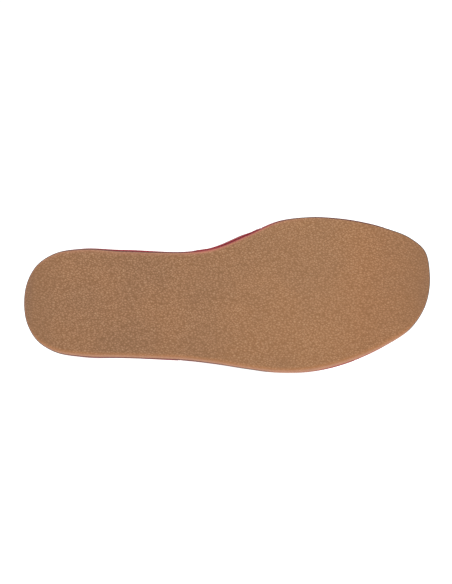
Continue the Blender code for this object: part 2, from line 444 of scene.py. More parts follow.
# %% An empty node group
def new_group(name, inputs, outputs):
    """A group with named sockets: its tree, what it is given, and its result."""
    tree = bpy.data.node_groups.new(name, "ShaderNodeTree")
    for label, kind in inputs.items():
        tree.interface.new_socket(label, in_out="INPUT", socket_type="NodeSocket" + kind)
    for label, kind in outputs.items():
        tree.interface.new_socket(label, in_out="OUTPUT", socket_type="NodeSocket" + kind)
    given = tree.nodes.new("NodeGroupInput").outputs
    result = tree.nodes.new("NodeGroupOutput").inputs
    return tree, given, result


print("helper: new_group")

# %% [markdown]
# Grain
#
# Pebbled rubber and leather look alike under a glass: small domed islands with narrow creases
# between them. A noise texture gives clouds, not islands. A Voronoi texture gives both parts:
# the distance to its cell edges makes the creases, and the distance to its cell centres the
# domes. A little noise on its coordinates takes away the honeycomb. As a group it serves the
# rubber with large pebbles and the leathers with fine ones.

# %% The grain group
# Widths are shares of a pebble, and both heights together make the full height, 1
CREASE_WIDTH, CREASE_HEIGHT = 0.16, 0.35
DOME_WIDTH, DOME_HEIGHT = 0.70, 0.65
VALLEY_WIDTHS = (0.02, 0.14)
FLECK_CHANCE = (0.82, 0.98)
NOISE_PER_PEBBLE = 0.6
MID_GREY = (0.5, 0.5, 0.5)


def grain_group():
    tree, given, result = new_group(
        "pebble grain", {"Place": "Vector", "Pebble size": "Float", "Unevenness": "Float"},
        {"Height": "Float", "Valley": "Float", "Fleck": "Float"})
    pebbles = maths(tree, "DIVIDE", 1.0, given["Pebble size"])
    clouds = place(tree, "ShaderNodeTexNoise", Vector=given["Place"],
                   Scale=times(tree, pebbles, NOISE_PER_PEBBLE), Detail=2.0)
    centred = place(tree, "ShaderNodeVectorMath", {"operation": "SUBTRACT"})
    fill(tree, centred.inputs[0], clouds.outputs["Color"])
    fill(tree, centred.inputs[1], MID_GREY)
    wobble = place(tree, "ShaderNodeVectorMath", {"operation": "SCALE"}, Vector=centred.outputs[0],
                   Scale=times(tree, given["Unevenness"], given["Pebble size"]))
    moved = place(tree, "ShaderNodeVectorMath", {"operation": "ADD"})
    fill(tree, moved.inputs[0], given["Place"])
    fill(tree, moved.inputs[1], wobble.outputs[0])
    walls = place(tree, "ShaderNodeTexVoronoi", {"feature": "DISTANCE_TO_EDGE"},
                  Vector=moved.outputs[0], Scale=pebbles).outputs
    cells = place(tree, "ShaderNodeTexVoronoi", {"feature": "F1"},
                  Vector=moved.outputs[0], Scale=pebbles).outputs
    creased = ramp(tree, walls["Distance"], 0.0, CREASE_WIDTH, 0.0, CREASE_HEIGHT)
    domed = ramp(tree, cells["Distance"], 0.0, DOME_WIDTH, DOME_HEIGHT, 0.0)
    height = maths(tree, "ADD", creased, domed)
    chance = place(tree, "ShaderNodeSeparateColor", Color=cells["Color"]).outputs["Red"]
    fill(tree, result["Height"], height)
    fill(tree, result["Valley"], ramp(tree, walls["Distance"], *VALLEY_WIDTHS, 1.0, 0.0))
    fill(tree, result["Fleck"], times(tree, ramp(tree, chance, *FLECK_CHANCE), height))
    return tree


GRAIN = grain_group()
print("group:", GRAIN.name)

# %% [markdown]
# Patches and rubbing
#
# No hide and no rubber sheet has one even colour. A slow noise makes soft patches, a few
# centimetres wide. And what is handled rubs first along its edges, in broken stretches. Both
# could be painted, piece by piece, but a group serves all pieces at once. The patches are the
# noise alone. For the rubbing a noise is added to the edge attribute, and a mask is cut out of
# the sum.

# %% The patches group and the rubbing group
PATCH_STEP = (0.3, 0.7)
RUBBING_STEP = (1.25, 1.75)


def patches_group():
    tree, given, result = new_group(
        "soft patches", {"Place": "Vector", "Patch size": "Float"}, {"Shade": "Float"})
    scale = maths(tree, "DIVIDE", 1.0, given["Patch size"])
    clouds = place(tree, "ShaderNodeTexNoise", Vector=given["Place"], Scale=scale, Detail=3.0)
    fill(tree, result["Shade"], ramp(tree, clouds.outputs["Fac"], *PATCH_STEP))
    return tree


def rubbing_group():
    tree, given, result = new_group(
        "edge rubbing", {"Place": "Vector", "Edge": "Float", "Break size": "Float"},
        {"Mask": "Float"})
    scale = maths(tree, "DIVIDE", 1.0, given["Break size"])
    breaks = place(tree, "ShaderNodeTexNoise", Vector=given["Place"], Scale=scale, Detail=4.0)
    worn = maths(tree, "ADD", given["Edge"], breaks.outputs["Fac"])
    fill(tree, result["Mask"], ramp(tree, worn, *RUBBING_STEP))
    return tree


PATCHES = patches_group()
RUBBING = rubbing_group()
print("groups:", PATCHES.name, "and", RUBBING.name)

# %% [markdown]
# What all materials share
#
# Every material of the sandal starts with the same shader and ends alike: a colour, a roughness
# that changes with the patches, and a bump for the grain. Each could set these itself, but a
# helper for the start and one for the end keep the recipes short. The bump's height is given
# in metres, so it stays true to size.

# %% A new material and its surface
def new_material(name, **sockets):
    """A material with a Principled BSDF whose plain sockets are set here."""
    material = bpy.data.materials.new(name)
    material.use_nodes = True
    tree = material.node_tree
    shader = tree.nodes["Principled BSDF"]
    for label, value in sockets.items():
        shader.inputs[label.replace("_", " ")].default_value = value
    spot = place(tree, "ShaderNodeTexCoord").outputs["Object"]
    return material, tree, shader, spot


def use_group(tree, group, **sockets):
    return place(tree, "ShaderNodeGroup", {"node_tree": group}, **sockets).outputs


def edge_share(tree):
    return place(tree, "ShaderNodeAttribute", {"attribute_name": "edge"}).outputs["Fac"]


def set_surface(tree, shader, colour, shade, roughness, height, relief, strength):
    """Feed colour, roughness and bump into the shader. The roughness goes from its first to
    its second value with the shade, and relief is the bump's real height in metres."""
    bump = place(tree, "ShaderNodeBump", Height=height, Distance=relief, Strength=strength)
    fill(tree, shader.inputs["Base Color"], colour)
    fill(tree, shader.inputs["Roughness"], ramp(tree, shade, 0.0, 1.0, *roughness))
    fill(tree, shader.inputs["Normal"], bump.outputs["Normal"])


print("helpers: new_material, use_group, edge_share and set_surface")

# %% [markdown]
# The outsole
#
# The outsole is a sheet of tan rubber, pressed with a fine pebble. The pebbles are about 1.1 mm
# wide and 1.5 mm long, and far lower than that, so they are bump and colour and not geometry.
# One even tan would look like plastic. So the colour is built up in layers, each with a mask:
# pebbles and flecks first, with painted shade in the creases between the pebbles and a painted
# highlight on their tops, then a warmer tread towards the toe, and soil at both ends.

# %% Tan pebbles
PEBBLE_SIZE = 0.00108
ROLLED_OUT = (0.70, 1.0, 1.0)
# Tans of the creases and of the pebble tops: painted shade and painted highlight of the relief
CREASE_SHADE_TANS = (0.178, 0.079, 0.028, 1), (0.204, 0.090, 0.034, 1)
PEBBLE_HIGHLIGHT_TANS = (0.341, 0.176, 0.091, 1), (0.380, 0.198, 0.102, 1)
FLECK_STRENGTH, FLECK_TAN = 0.20, (0.50, 0.31, 0.18, 1)


def tan_pebbles(tree, spot):
    """Colour of the pressed sheet, height of its pebbles and shade of its patches. The colour
    has painted shade in the creases and a painted highlight on the pebble tops.
    """
    rolled = place(tree, "ShaderNodeMapping", Vector=spot, Scale=ROLLED_OUT).outputs["Vector"]
    grain = use_group(tree, GRAIN, Place=rolled, Pebble_size=PEBBLE_SIZE, Unevenness=1.0)
    shade = use_group(tree, PATCHES, Place=spot, Patch_size=0.045)["Shade"]
    # Creases take the darker tans and pebble tops the lighter: painted shade and painted highlight
    low = mix_colour(tree, shade, *CREASE_SHADE_TANS)
    high = mix_colour(tree, shade, *PEBBLE_HIGHLIGHT_TANS)
    tan = mix_colour(tree, grain["Height"], low, high)
    flecked = mix_colour(tree, times(tree, grain["Fleck"], FLECK_STRENGTH), tan, FLECK_TAN)
    return flecked, grain["Height"], shade


print(f"pebbles {PEBBLE_SIZE / MM:.1f} mm wide and {PEBBLE_SIZE / ROLLED_OUT[0] / MM:.1f} mm long")

# %% Wear along the sole
# Layer, stretch from its start to where it is full, in metres from the middle with the heel
# below 0, strength, colour, and how the colour is mixed in
WEAR = (
    ("warm tread", (-0.07, 0.05), 0.085, (0.563, 0.274, 0.095, 1), "MIX"),
    ("rubbed toe", (0.055, 0.095), 1.0, (0.99, 0.944, 0.906, 1), "MULTIPLY"),
    ("soiled heel", (-0.095, -0.125), 0.40, (0.20, 0.095, 0.040, 1), "MIX"),
    ("soiled toe", (0.095, 0.125), 0.40, (0.20, 0.095, 0.040, 1), "MIX"),
    ("grimy heel tip", (-0.118, -0.1255), 0.25, (0.14, 0.085, 0.072, 1), "MIX"),
    ("grimy toe tip", (0.116, 0.1245), 0.10, (0.14, 0.085, 0.072, 1), "MIX"),
)


def worn_sheet(tree, along, tan):
    """The sheet's colour after wear."""
    for _, stretch, strength, colour, blend in WEAR:
        mask = ramp(tree, along, *stretch, 0.0, strength)
        tan = mix_colour(tree, mask, tan, colour, blend)
    return tan


print("wear:", ", ".join(layer for layer, *_ in WEAR))

# %% [markdown]
# The outsole's rim
#
# The cut rim draws the sole's outline: a thin dark line, painted shade where the rounded edge
# turns away from the light, and inside it a warm, paler stretch, a painted highlight where the
# rounding catches the light. The highlight is strong on the little-toe side and fades towards
# the big toe. Beside the instep band some red edge paint has crept onto the rubber.
# A strip of its own could carry this, but it would show a seam. So the masks are cut from the
# edge attribute, from the place along the sole and from the height above the floor.

# %% Colours of the rim
# Heights above the floor and stretches along the sole, in metres
BIG_TOE_HEIGHTS = (0.045, 0.060)
# Where the painted highlight fades on the big-toe side, and by how much
HIGHLIGHT_FADE_STRETCH, HIGHLIGHT_FADE_STRENGTH = (0.0, 0.080), 0.85
PAINT_BACK, PAINT_FRONT = (-0.034, -0.016), (0.034, 0.018)

# Steps of the edge share, and strengths
# The warm and the pale step paint a highlight along the rounded rim
WARM_STEP, WARM_STRENGTH = (0.0, 0.2), 0.5
PALE_STEP, PALE_STRENGTH = (0.15, 0.5), 0.80
# This step paints shade: a dark line at the very edge of the rim
RIM_SHADE_STEP, RIM_SHADE_STRENGTH = (0.60, 0.85), 1.0
CREPT_STEP, CREPT_STRENGTH = (0.05, 0.18), 0.65
PAINT_STEP = (0.12, 0.45)

# Tans of the painted highlight along the rim
WARM_TANS = (0.40, 0.166, 0.064, 1), (0.42, 0.178, 0.108, 1)
RIM_HIGHLIGHT_TAN = (0.43, 0.212, 0.138, 1)
# Dark brown of the rim's edge and side wall: painted shade where the rounded edge turns away
PAINTED_RIM_SHADE = (0.085, 0.038, 0.028, 1)
PAINT_REDS = (0.47, 0.145, 0.105, 1), (0.36, 0.040, 0.050, 1)
print(f"red paint along {(PAINT_FRONT[0] - PAINT_BACK[0]) / MM:.0f} mm of the rim")

# %% Layers of the rim
def rim_layers(tree, axes, edge, tan):
    """The sheet's colour with its rim: a painted highlight, warm and pale, a dark line of painted
    shade, and red paint at the band.
    """
    along = axes["X"]
    big_toe_side = ramp(tree, axes["Z"], *BIG_TOE_HEIGHTS)
    # Towards the toe on the big-toe side the painted highlight fades
    highlight_fade = times(tree, big_toe_side, ramp(tree, along, *HIGHLIGHT_FADE_STRETCH, 0.0, HIGHLIGHT_FADE_STRENGTH))
    rubbed_and_highlit = maths(tree, "SUBTRACT", 1.0, highlight_fade)
    at_band = times(tree, ramp(tree, along, *PAINT_BACK), ramp(tree, along, *PAINT_FRONT))
    painted = times(tree, at_band, big_toe_side)
    warm_tan = mix_colour(tree, big_toe_side, *WARM_TANS)
    paint = mix_colour(tree, ramp(tree, edge, *PAINT_STEP), *PAINT_REDS)
    layers = (
        # Warm and pale: a painted highlight along the rounded rim
        (rubbed_and_highlit, WARM_STEP, WARM_STRENGTH, warm_tan),
        (rubbed_and_highlit, PALE_STEP, PALE_STRENGTH, RIM_HIGHLIGHT_TAN),
        # Painted shade: a dark line where the rounded edge turns away from the light
        (1.0, RIM_SHADE_STEP, RIM_SHADE_STRENGTH, PAINTED_RIM_SHADE),
        (painted, CREPT_STEP, CREPT_STRENGTH, paint),
    )
    for where, step, strength, colour in layers:
        mask = times(tree, where, ramp(tree, edge, *step, 0.0, strength))
        tan = mix_colour(tree, mask, tan, colour)
    return tan


print("helper: rim_layers")

# %% Tan pebbled rubber
def pebbled_rubber():
    material, tree, shader, spot = new_material("tan_pebbled_rubber", Specular_IOR_Level=0.30)
    axes = place(tree, "ShaderNodeSeparateXYZ", Vector=spot).outputs
    pebbled, height, shade = tan_pebbles(tree, spot)
    worn = worn_sheet(tree, axes["X"], pebbled)
    rimmed = rim_layers(tree, axes, edge_share(tree), worn)
    set_surface(tree, shader, rimmed, shade, roughness=(0.58, 0.70), height=height,
                relief=0.00025, strength=0.8)
    return material


RUBBER = pebbled_rubber()
print("rubber:", len(RUBBER.node_tree.nodes), "nodes")

# %% Edge shares of the rim
# Inset from the edge in millimetres, and edge share, of the flat lines beside the rim; their
# edge share carries the painted highlight
HIGHLIGHT_ROWS = ((6.0, 0.0), (4.2, 0.0), (2.8, 0.10), (1.9, 0.20), (1.35, 0.38))
# Edge shares of the rim's rows: where the painted highlight ends and the painted shade begins
RIM_SHADES = (0.5, 0.70, 0.90, 1.0, 1.0)
# How strong the painted highlight is on each side, and how closely it keeps to the long sides
RIM_HIGHLIGHT_SHARE = {BIG_TOE: 0.33, LITTLE_TOE: 1.05}
RIM_HIGHLIGHT_POWER = 3
# Stretch of the little-toe side, in millimetres, where the painted shade fades out, and how much
SHADE_FADE_START, SHADE_FADE_END = (135.0, 165.0), (232.0, 246.0)
SHADE_FADE_STRENGTH = 0.45


def smooth_step(value, low, high):
    t = np.clip((value - low) / (high - low), 0.0, 1.0)
    return t * t * (3 - 2 * t)


def rim_highlight_round_edge():
    """Strength of the painted highlight at each spot of the edge: most along the sides, none at the
    heel and the toe.
    """
    facing = {side: np.abs(EDGE[side][1][:, 1]) for side in EDGE}
    return closed_line(*(RIM_HIGHLIGHT_SHARE[side] * facing[side] ** RIM_HIGHLIGHT_POWER for side in EDGE))


def painted_shade_left():
    """Share of the dark line of painted shade that is left: it fades out at the little-toe joint,
    where the painted highlight takes its place.
    """
    x = EDGE[LITTLE_TOE][0][:, 0]
    shade_fade = smooth_step(x, *SHADE_FADE_START) * (1 - smooth_step(x, *SHADE_FADE_END))
    return closed_line(np.ones(len(x)), 1 - SHADE_FADE_STRENGTH * shade_fade)


# Strength of the rim's painted highlight round the edge
rubbing_and_highlight = rim_highlight_round_edge()
# Share of the rim's painted shade that is left round the edge
dark = painted_shade_left()
print(f"rubbing up to {rubbing_and_highlight.max():.2f}, at least {dark.min():.2f} of the dark line is left")

# %% Outsole piece
OUTSOLE_TOP = 3.8
OUTSOLE_RIM, OUTSOLE_TOP_ROUND = 0.8, 0.3
OUTSOLE_TOP_INSET = 2.0

wall = rounded_wall(0.0, OUTSOLE_TOP, OUTSOLE_RIM, OUTSOLE_TOP_ROUND, len(RIM_SHADES))
# The rim's outer rows carry the painted shade, faded where less of it is left
shades = [RIM_SHADES[0] * rubbing_and_highlight] + [np.minimum(shade, dark) for shade in RIM_SHADES[1:]]
shades += [1.0] * (len(wall) - len(RIM_SHADES))
# The flat rows beside the rim carry the painted highlight
rows = [(inset, 0.0, shade * rubbing_and_highlight) for inset, shade in HIGHLIGHT_ROWS]
rows += [(inset, height, shade) for (inset, height), shade in zip(wall, shades)]
rows += [(OUTSOLE_TOP_INSET, OUTSOLE_TOP, 0.0)]
sheet = slab(even_overhang(0.0), rows)
make_piece("outsole_sheet", sheet, RUBBER, ["outsole"])

# %% [markdown]
# Red leather
#
# The bands and the footbed's wrap are the same smooth red leather: satin, with a very fine
# grain that only shows where light grazes it. The bands' cut edges are painted darker, while
# the wrap shows no cut edge and is a little glossier, as leather is where it is pulled tight.
# Each leather could have a graph of its own. But all are built up alike: two tones in patches,
# darker creases, paint on cut edges, rubbed rims. So one function lays these on for any hide.

# %% Leather from a hide
LEATHER_BUMP = 0.5


def leather(name, hide, tones, gloss, paint=None):
    """A hide in two tones. Its sizes are in metres, and its creases and rubbing, like the paint
    on its cut edges, are each a strength and a colour."""
    material, tree, shader, spot = new_material(name, Specular_IOR_Level=gloss)
    grain = use_group(tree, GRAIN, Place=spot, **hide["grain"])
    shade = use_group(tree, PATCHES, Place=spot, Patch_size=hide["patch size"])["Shade"]
    edge = edge_share(tree)
    rubbed_and_highlit = use_group(tree, RUBBING, Place=spot, Edge=edge, Break_size=hide["break size"])["Mask"]
    colour = mix_colour(tree, shade, *tones)
    layers = [(grain["Valley"], hide["creases"]), (rubbed_and_highlit, hide["rubbing_and_highlight"])]
    if paint:
        layers.insert(1, (edge, paint))
    for mask, (strength, tone) in layers:
        colour = mix_colour(tree, times(tree, mask, strength), colour, tone)
    set_surface(tree, shader, colour, shade, roughness=hide["roughness"], height=grain["Height"],
                relief=hide["relief"], strength=LEATHER_BUMP)
    return material


print("helper: leather")

# %% Satin red leather
RED_HIDE = {
    "grain": {"Pebble_size": 0.00060, "Unevenness": 1.1},
    "relief": 0.00006,
    "patch size": 0.030,
    "break size": 0.006,
    "roughness": (0.33, 0.43),
    "creases": (0.35, (0.17, 0.003, 0.008, 1)),
    "rubbing_and_highlight": (0.30, (0.44, 0.030, 0.042, 1)),
}
REDS = (0.32, 0.006, 0.017, 1), (0.38, 0.008, 0.021, 1)
EDGE_PAINT = (0.7, (0.13, 0.003, 0.007, 1))

WRAP_LEATHER = leather("red_wrap_leather", RED_HIDE, REDS, gloss=0.45)
BAND_LEATHER = leather("red_band_leather", RED_HIDE, REDS, gloss=0.30, paint=EDGE_PAINT)
print("leathers:", WRAP_LEATHER.name, BAND_LEATHER.name)

# %% [markdown]
# The footbed
#
# The footbed is a thin padded board wrapped in red leather. Here and there it stands out past
# the outsole, by a millimetre at most, which shows from below as a thin red line. At the bands'
# feet the leather is pressed in by the band's thickness, so the band ends up nearly flush. A
# Boolean could cut those notches, but it leaves hard corners. So the edge itself steps in.

# %% Sizes of the footbed
FOOTBED_BASE = 3.85
FOOTBED_TOP = 11.1
BAND_WALL = 2.4
GAP = 0.05
END_INSET = 0.2

# Share of the length, overhang on the big-toe side and on the little-toe side
FOOTBED_OVERHANG = (
    (0.00, -0.2, -0.2),
    (0.10, 0.2, 0.2),
    (0.19, 0.6, 0.4),
    (0.27, 1.0, 0.3),
    (0.36, 0.4, 0.5),
    (0.46, 0.6, 0.3),
    (0.54, 0.7, 0.1),
    (0.62, 0.4, 0.2),
    (0.70, 0.1, 0.5),
    (0.78, 0.4, 0.7),
    (0.86, 0.4, 0.5),
    (0.93, 0.0, 0.2),
    (1.00, -0.2, -0.2),
)

# Outer face of the bands past the outsole's edge: share of the length,
# big-toe side at the foot of the band and at its widest, little-toe side likewise
BAND_REACH = (
    (0.36, 0.4, 0.5, 0.4, 0.4),
    (0.46, 0.7, 1.2, 0.2, 0.2),
    (0.54, 0.9, 1.7, 0.0, 0.0),
    (0.60, 0.4, 0.6, 0.0, -0.2),
    (0.66, 0.2, 0.3, 0.1, -0.1),
    (0.77, 0.3, 0.4, 0.7, 0.6),
    (0.86, 0.3, 0.4, 0.5, 0.4),
    (0.94, 0.0, 0.1, 0.0, 0.0),
)
FOOT_COLUMN = {BIG_TOE: 1, LITTLE_TOE: 3}
OVERHANG_COLUMN = {BIG_TOE: 1, LITTLE_TOE: 2}
print(f"footbed {FOOTBED_TOP - FOOTBED_BASE:.2f} mm thick")

# %% The footbed's edge, pressed in at the bands
def column(table, number, share):
    """A table's column at shares of the sole's length."""
    flat = np.ravel(share)
    values = spline([row[0] for row in table], [row[number] for row in table], flat)
    return values.reshape(np.shape(share))


def footbed_overhang(side):
    points, outward = EDGE[side]
    x = points[:, 0]
    share = x / SOLE_LENGTH
    facing = np.abs(outward[:, 1])
    edge = column(FOOTBED_OVERHANG, OVERHANG_COLUMN[side], share) * facing - END_INSET * (1 - facing)
    at_foot = column(BAND_REACH, FOOT_COLUMN[side], share)
    at_widest = column(BAND_REACH, FOOT_COLUMN[side] + 1, share)
    notch = np.minimum(at_foot, at_widest) - BAND_WALL - GAP
    for band in BANDS.values():
        back, front = band_foot(band, side)
        inside = smooth_step(x, back - STEP_START, back - STEP_END)
        inside *= 1 - smooth_step(x, front + STEP_END, front + STEP_START)
        edge = edge + (notch - edge) * inside
    return edge


FOOTBED_EDGE = {side: footbed_overhang(side) for side in EDGE}
print(f"footbed edge from {min(edge.min() for edge in FOOTBED_EDGE.values()):.1f} mm at the bands")

# %% Footbed piece
FOOTBED_RIM, FOOTBED_TOP_ROUND, FOOTBED_STEPS = 0.9, 1.7, 7
UNDERSIDE_INSETS = (6.0, 2.0)
TOP_INSETS = (2.6, 6.0)
WRAP_SHADE = 0.5

wall = rounded_wall(FOOTBED_BASE, FOOTBED_TOP, FOOTBED_RIM, FOOTBED_TOP_ROUND, FOOTBED_STEPS)
rows = [(inset, FOOTBED_BASE, 0.0) for inset in UNDERSIDE_INSETS]
rows += [(inset, height, WRAP_SHADE) for inset, height in wall]
rows += [(inset, FOOTBED_TOP, 0.0) for inset in TOP_INSETS]
make_piece("footbed_wrapped", slab(FOOTBED_EDGE, rows), WRAP_LEATHER, ["footbed"])

# %% [markdown]
# The sock
#
# The sock is the thin leather that the foot stands on, glued to the footbed and sewn all
# round. Left natural, it has a fine pore and soft tan clouds. The seam presses a shallow
# channel into it. Bump could draw that channel, but a side light shows it, so it is modelled.

# %% Natural leather
NATURAL_HIDE = {
    "grain": {"Pebble_size": 0.00080, "Unevenness": 1.2},
    "relief": 0.00008,
    "patch size": 0.022,
    "break size": 0.004,
    "roughness": (0.54, 0.66),
    "creases": (0.30, (0.20, 0.105, 0.048, 1)),
    "rubbing_and_highlight": (0.5, (0.24, 0.13, 0.062, 1)),
}
SOCK_TANS = (0.38, 0.222, 0.115, 1), (0.44, 0.265, 0.142, 1)
LINING_TANS = (0.41, 0.245, 0.13, 1), (0.46, 0.285, 0.155, 1)

SOCK_LEATHER = leather("natural_sock_leather", NATURAL_HIDE, SOCK_TANS, gloss=0.3)
LINING_LEATHER = leather("natural_lining_leather", NATURAL_HIDE, LINING_TANS, gloss=0.3)
print("leathers:", SOCK_LEATHER.name, LINING_LEATHER.name)

# %% Sock piece
SOCK_BASE = 11.15
SOCK_TOP = 12.8
SOCK_INSET = 3.4
SOCK_RIM, SOCK_TOP_ROUND, SOCK_STEPS = 0.2, 0.6, 5
SOCK_BASE_INSET = 4.0
SEAM_INSET, SEAM_DEPTH, SEAM_WIDTH = 3.0, 0.22, 0.5
SEAM_ROWS = (1.4, 2.0, 2.4, 2.7, 3.0, 3.3, 3.6, 4.0, 4.8, 7.0)
SOCK_EDGE = even_overhang(-SOCK_INSET)


def seam_dip(inset, seam, depth, width):
    return depth * math.exp(-((inset - seam) / width) ** 2)


def sock_surface(inset):
    return SOCK_TOP - seam_dip(inset, SEAM_INSET, SEAM_DEPTH, SEAM_WIDTH)


wall = rounded_wall(SOCK_BASE, SOCK_TOP, SOCK_RIM, SOCK_TOP_ROUND, SOCK_STEPS)
rows = [(SOCK_BASE_INSET, SOCK_BASE, 0.0)]
rows += [(inset, height, 1.0) for inset, height in wall]
rows += [(inset, sock_surface(inset), 0.0) for inset in SEAM_ROWS]
make_piece("insole_sock", slab(SOCK_EDGE, rows), SOCK_LEATHER, ["insole"])

# %% [markdown]
# The last under the bands
#
# The last is the wooden foot that a shoe is built on. It isn't made here, but the bands take
# its shape, so it is written down as a function. Across a band it runs from the back edge, 0,
# to the front edge, 1. Around the foot it runs from the little-toe side, 0, to the big-toe
# side, 1: a straight leg up from the sole, a rounded arch over the foot, and a leg down again.

# %% Sizes of the last
SOLE_SURFACE = SOCK_TOP
BAND_BASE = 4.1
LEG_SHARE = 0.125
WIDEST = {BIG_TOE: 10.0, LITTLE_TOE: 5.0}
ROUNDNESS = {BIG_TOE: 2.4, LITTLE_TOE: 2.2}
CREST_NARROWING = 0.10
LEAST_FACING = 0.2

# Share of the length, height of the crest above the sock, shift to the big-toe side
LAST = (
    (0.25, 81.0, 2.0),
    (0.35, 71.0, 3.5),
    (0.45, 60.5, 5.0),
    (0.55, 50.5, 7.5),
    (0.65, 42.0, 10.5),
    (0.75, 34.5, 13.5),
    (0.85, 28.0, 16.0),
    (0.95, 22.0, 17.0),
)


def edge_width(x, side, overhang):
    """Distance of the sole's edge from the heel's centre line, moved out by an overhang."""
    line, outward = SOLE_SIDES[side]
    width = np.interp(x, line[:, 0], side * line[:, 1])
    stretch = 1 / np.maximum(np.abs(outward[:, 1]), LEAST_FACING)
    return width + overhang * np.interp(x, line[:, 0], stretch)


print("crest", LAST[0][1], "mm above the sock at the back and", LAST[-1][1], "mm at the front")

# %% Points of the last
def half_arch(side, x, crest, around, angle):
    """Offset and height of the last on one side of the foot."""
    share = x / SOLE_LENGTH
    climbed = np.minimum((1 - around if side == BIG_TOE else around) / LEG_SHARE, 1.0)
    foot = column(BAND_REACH, FOOT_COLUMN[side], share)
    bulge = column(BAND_REACH, FOOT_COLUMN[side] + 1, share) - foot
    reach = foot + bulge * np.sin(climbed * math.pi / 2)
    half = edge_width(x, side, reach - BAND_WALL) - side * crest
    hip = SOLE_SURFACE + WIDEST[side] + spring(x)
    ground = BAND_BASE + spring(x)
    rise = column(LAST, 1, share) - WIDEST[side]
    power = 2 / ROUNDNESS[side]
    y = crest + side * half * np.abs(np.cos(angle)) ** power
    z = ground + (hip - ground) * climbed + rise * np.sin(angle) ** power
    return y, z


def last_points(band, across, around):
    """Points of the last under a band, in millimetres; across and around are arrays."""
    out_back, out_front, in_back, in_front, sweep = band
    angle = math.pi * np.clip((around - LEG_SHARE) / (1 - 2 * LEG_SHARE), 0.0, 1.0)
    over = np.sin(angle)
    cross = (1 - np.cos(angle)) / 2
    back = out_back + (in_back - out_back) * cross
    front = out_front + (in_front - out_front) * cross
    reach = 0.5 + (across - 0.5) * (1 - CREST_NARROWING * over ** 2)
    x = (back + (front - back) * reach) * SOLE_LENGTH - sweep * over ** 2
    crest = -column(LAST, 2, x / SOLE_LENGTH)
    outer = half_arch(LITTLE_TOE, x, crest, around, angle)
    inner = half_arch(BIG_TOE, x, crest, around, angle)
    y, z = np.where(angle < math.pi / 2, outer, inner)
    return np.stack((x, y, z), -1)


crest = last_points(INSTEP_BAND, np.array(0.5), np.array(0.5))
print(f"instep crest at {crest[0]:.0f} mm from the heel, {crest[2]:.0f} mm high")

# %% [markdown]
# Lifting leather off the last
#
# A band has thickness, so each of its points is a point of the last moved out along the
# surface's normal. The Solidify modifier does that for a whole sheet, but here the lift
# changes over the band: rounded edges, seam channels and creases are all only lift.

# %% Points above the last
NUDGE = 0.002


def above_last(band, across, around, lift):
    """Points lifted off the last, and the outward normals there."""
    ahead = last_points(band, across, np.minimum(around + NUDGE, 1.0))
    behind = last_points(band, across, np.maximum(around - NUDGE, 0.0))
    aside = last_points(band, across + NUDGE, around) - last_points(band, across - NUDGE, around)
    normal = unit(np.cross(ahead - behind, aside))
    return last_points(band, across, around) + normal * lift[..., None], normal


crest, _ = above_last(INSTEP_BAND, np.array(0.5), np.array(0.5), np.array(BAND_WALL))
print(f"with the leather on, the instep crest is {crest[2]:.0f} mm high")

# %% Stations around a band
STATION_STEP = 1.1


def band_stations(band):
    """Values of around that are evenly spread along the band's middle, and its length."""
    fine = np.linspace(0.0, 1.0, FINE_STEPS)
    walk = walked(last_points(band, np.full(FINE_STEPS, 0.5), fine))
    count = int(walk[-1] / STATION_STEP)
    return np.interp(np.linspace(0.0, walk[-1], count + 1), walk, fine), walk[-1]


def band_widths(band, around):
    edges = [last_points(band, np.full(len(around), share), around) for share in (0.0, 1.0)]
    return np.linalg.norm(edges[1] - edges[0], axis=1)


for name, band in BANDS.items():
    around, length = band_stations(band)
    crest_width = band_widths(band, around)[len(around) // 2]
    print(f"{name} band: {length:.0f} mm long, {crest_width:.0f} mm wide at its crest")

# %% [markdown]
# Creases
#
# Leather that has been bent over a last and into a sole keeps a few soft folds, mostly where
# the band turns into its foot. A noise would scatter wrinkles evenly, which looks like cloth.
# So the folds are listed, one row each: where, how long, how broad, which way, how deep.

# %% Folds, one row each
# Across share, around share, length, breadth, turn in degrees from the band's run, depth in mm
FOLDS = {
    "front": (
        (0.16, 0.17, 13.0, 2.6, 24.0, 0.62),
        (0.34, 0.15, 10.0, 2.2, 10.0, 0.50),
        (0.80, 0.18, 14.0, 2.8, -20.0, 0.64),
        (0.20, 0.85, 12.0, 2.4, -16.0, 0.62),
        (0.62, 0.86, 11.0, 2.2, 6.0, 0.52),
        (0.84, 0.83, 14.0, 2.8, 22.0, 0.45),
        (0.46, 0.43, 15.0, 6.0, 82.0, 0.45),
        (0.55, 0.60, 17.0, 7.0, 96.0, 0.62),
    ),
    "instep": (
        (0.20, 0.15, 13.0, 2.6, 18.0, 0.64),
        (0.72, 0.14, 12.0, 2.4, -14.0, 0.56),
        (0.28, 0.87, 13.0, 2.6, -18.0, 0.64),
        (0.80, 0.86, 12.0, 2.4, 14.0, 0.62),
        (0.50, 0.36, 13.0, 6.5, 84.0, 0.50),
        (0.48, 0.63, 14.0, 7.0, 94.0, 0.64),
    ),
}


def fold_depth(folds, across, around, width, length):
    """How far the leather sinks at each point of a band."""
    depth = np.zeros(np.shape(across))
    for at_across, at_around, run, breadth, turn, deep in folds:
        aside = (across - at_across) * width
        along = (around - at_around) * length
        cosine = math.cos(math.radians(turn))
        sine = math.sin(math.radians(turn))
        past_run = (along * cosine + aside * sine) / run
        past_breadth = (aside * cosine - along * sine) / breadth
        depth += deep * np.exp(-past_run ** 2 - past_breadth ** 2)
    return depth


print(sum(len(folds) for folds in FOLDS.values()), "folds")

